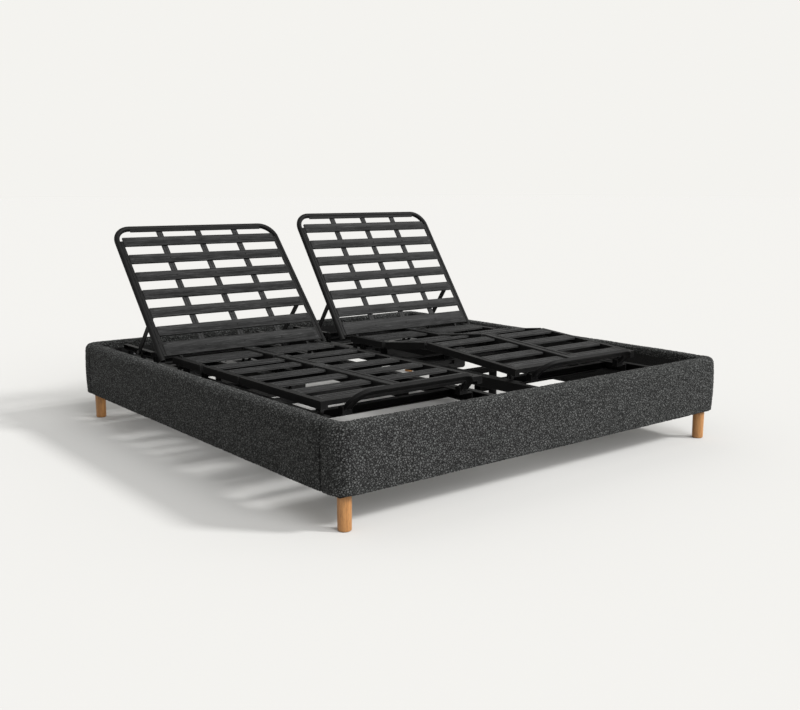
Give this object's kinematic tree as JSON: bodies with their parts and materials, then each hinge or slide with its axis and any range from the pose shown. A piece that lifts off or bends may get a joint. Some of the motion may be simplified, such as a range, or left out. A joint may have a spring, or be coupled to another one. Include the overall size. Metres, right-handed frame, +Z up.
{
  "type": "adjustable bed base",
  "caption": "Adjustable split bed base: padded boucle surround on wooden legs with steel slat decks whose back, thigh and leg sections lift by motor.",
  "frame": {"origin": "on the floor at the middle of the base", "axes": "+X to the right seen from the foot, +Y towards the head, +Z up"},
  "size_m": [2.04, 2.14, 0.9611],
  "materials": {
    "boucle": "charcoal boucle fabric over foam",
    "board": "plain particle board inside the padded rails",
    "leg_wood": "oiled light oak, satin",
    "black_steel": "satin graphite black powder coat",
    "slat_steel": "satin black coat over brushed pressed steel",
    "zinc_steel": "zinc plated",
    "nylon": "black nylon",
    "drive_plastic": "fine grained black plastic"
  },
  "bodies": {
    "surround": {"corner_brackets": "black_steel", "foot_left_leg": "leg_wood", "foot_rail_core": "board", "foot_rail_cover": "boucle", "foot_right_leg": "leg_wood", "head_left_leg": "leg_wood", "head_rail_core": "board", "head_rail_cover": "boucle", "head_right_leg": "leg_wood", "left_rail_core": "board", "left_rail_cover": "boucle", "rail_bolts": "zinc_steel", "right_rail_core": "board", "right_rail_cover": "boucle", "left_base_frame": "black_steel", "left_mid_legs": "black_steel", "right_base_frame": "black_steel", "right_mid_legs": "black_steel"},
    "left_carriage": {"left_carriage_frame": "black_steel", "left_carriage_glides": "nylon", "left_seat_frame": "black_steel", "left_seat_slats": "slat_steel", "left_hinge_pins": "zinc_steel", "left_drive_housing": "drive_plastic"},
    "left_back": {"left_back_frame": "black_steel", "left_back_slats": "slat_steel", "left_back_ribs": "slat_steel", "left_strut_pins": "zinc_steel"},
    "left_struts": {"left_back_struts": "black_steel", "left_strut_glides": "nylon"},
    "left_thigh": {"left_thigh_frame": "black_steel", "left_thigh_slats": "slat_steel", "left_knee_pins": "zinc_steel"},
    "left_leg": {"left_leg_frame": "black_steel", "left_leg_slats": "slat_steel", "left_leg_glides": "nylon", "left_retainer_bar": "black_steel"},
    "left_back_pusher": {"left_back_thrust_block": "nylon"},
    "left_leg_pusher": {"left_leg_thrust_block": "nylon"},
    "right_carriage": {"right_carriage_frame": "black_steel", "right_carriage_glides": "nylon", "right_seat_frame": "black_steel", "right_seat_slats": "slat_steel", "right_hinge_pins": "zinc_steel", "right_drive_housing": "drive_plastic"},
    "right_back": {"right_back_frame": "black_steel", "right_back_slats": "slat_steel", "right_back_ribs": "slat_steel", "right_strut_pins": "zinc_steel"},
    "right_struts": {"right_back_struts": "black_steel", "right_strut_glides": "nylon"},
    "right_thigh": {"right_thigh_frame": "black_steel", "right_thigh_slats": "slat_steel", "right_knee_pins": "zinc_steel"},
    "right_leg": {"right_leg_frame": "black_steel", "right_leg_slats": "slat_steel", "right_leg_glides": "nylon", "right_retainer_bar": "black_steel"},
    "right_back_pusher": {"right_back_thrust_block": "nylon"},
    "right_leg_pusher": {"right_leg_thrust_block": "nylon"}
  },
  "joints": [
    {"name": "left_back_hinge", "type": "hinge", "parent": "left_carriage", "child": "left_back", "pos_m": [-0.485, 0.42104, 0.342], "axis": [1, 0, 0], "range_deg": [-49, 13]},
    {"name": "left_carriage_slide", "type": "slide", "parent": "surround", "child": "left_carriage", "axis": [0, 1, 0], "range_m": [-0.17104, 0.04538]},
    {"name": "left_strut_hinge", "type": "hinge", "parent": "left_back", "child": "left_struts", "pos_m": [-0.485, 0.58506, 0.53068], "axis": [1, 0, 0], "range_deg": [-26, 98]},
    {"name": "left_thigh_hinge", "type": "hinge", "parent": "left_carriage", "child": "left_thigh", "pos_m": [-0.485, 0.13104, 0.342], "axis": [-1, 0, 0], "range_deg": [0, 35]},
    {"name": "left_knee_hinge", "type": "hinge", "parent": "left_thigh", "child": "left_leg", "pos_m": [-0.485, -0.17896, 0.342], "axis": [1, 0, 0], "range_deg": [0, 56]},
    {"name": "left_back_pusher_slide", "type": "slide", "parent": "left_carriage", "child": "left_back_pusher", "axis": [0, 1, 0], "range_m": [-0.08141, 0.0216]},
    {"name": "left_leg_pusher_slide", "type": "slide", "parent": "left_carriage", "child": "left_leg_pusher", "axis": [0, -1, 0], "range_m": [0, 0.06014]},
    {"name": "right_back_hinge", "type": "hinge", "parent": "right_carriage", "child": "right_back", "pos_m": [0.485, 0.44199, 0.342], "axis": [1, 0, 0], "range_deg": [-55, 7]},
    {"name": "right_carriage_slide", "type": "slide", "parent": "surround", "child": "right_carriage", "axis": [0, 1, 0], "range_m": [-0.19199, 0.02443]},
    {"name": "right_strut_hinge", "type": "hinge", "parent": "right_back", "child": "right_struts", "pos_m": [0.485, 0.58538, 0.54679], "axis": [1, 0, 0], "range_deg": [-14, 110]},
    {"name": "right_thigh_hinge", "type": "hinge", "parent": "right_carriage", "child": "right_thigh", "pos_m": [0.485, 0.15199, 0.342], "axis": [-1, 0, 0], "range_deg": [-7, 28]},
    {"name": "right_knee_hinge", "type": "hinge", "parent": "right_thigh", "child": "right_leg", "pos_m": [0.485, -0.1557, 0.37978], "axis": [1, 0, 0], "range_deg": [-11.2, 44.8]},
    {"name": "right_back_pusher_slide", "type": "slide", "parent": "right_carriage", "child": "right_back_pusher", "axis": [0, 1, 0], "range_m": [-0.09138, 0.01163]},
    {"name": "right_leg_pusher_slide", "type": "slide", "parent": "right_carriage", "child": "right_leg_pusher", "axis": [0, -1, 0], "range_m": [-0.01203, 0.04811]}
  ],
  "couplings": [
    {"joint": "left_carriage_slide", "follows": "left_back_hinge", "m_per_rad": 0.2},
    {"joint": "left_strut_hinge", "follows": "left_back_hinge", "ratio": -2},
    {"joint": "left_knee_hinge", "follows": "left_thigh_hinge", "ratio": 1.6},
    {"joint": "left_back_pusher_slide", "follows": "left_back_hinge", "m_per_rad": 0.095192},
    {"joint": "left_leg_pusher_slide", "follows": "left_thigh_hinge", "m_per_rad": 0.098452},
    {"joint": "right_carriage_slide", "follows": "right_back_hinge", "m_per_rad": 0.2},
    {"joint": "right_strut_hinge", "follows": "right_back_hinge", "ratio": -2},
    {"joint": "right_knee_hinge", "follows": "right_thigh_hinge", "ratio": 1.6},
    {"joint": "right_back_pusher_slide", "follows": "right_back_hinge", "m_per_rad": 0.095192},
    {"joint": "right_leg_pusher_slide", "follows": "right_thigh_hinge", "m_per_rad": 0.098452}
  ]
}
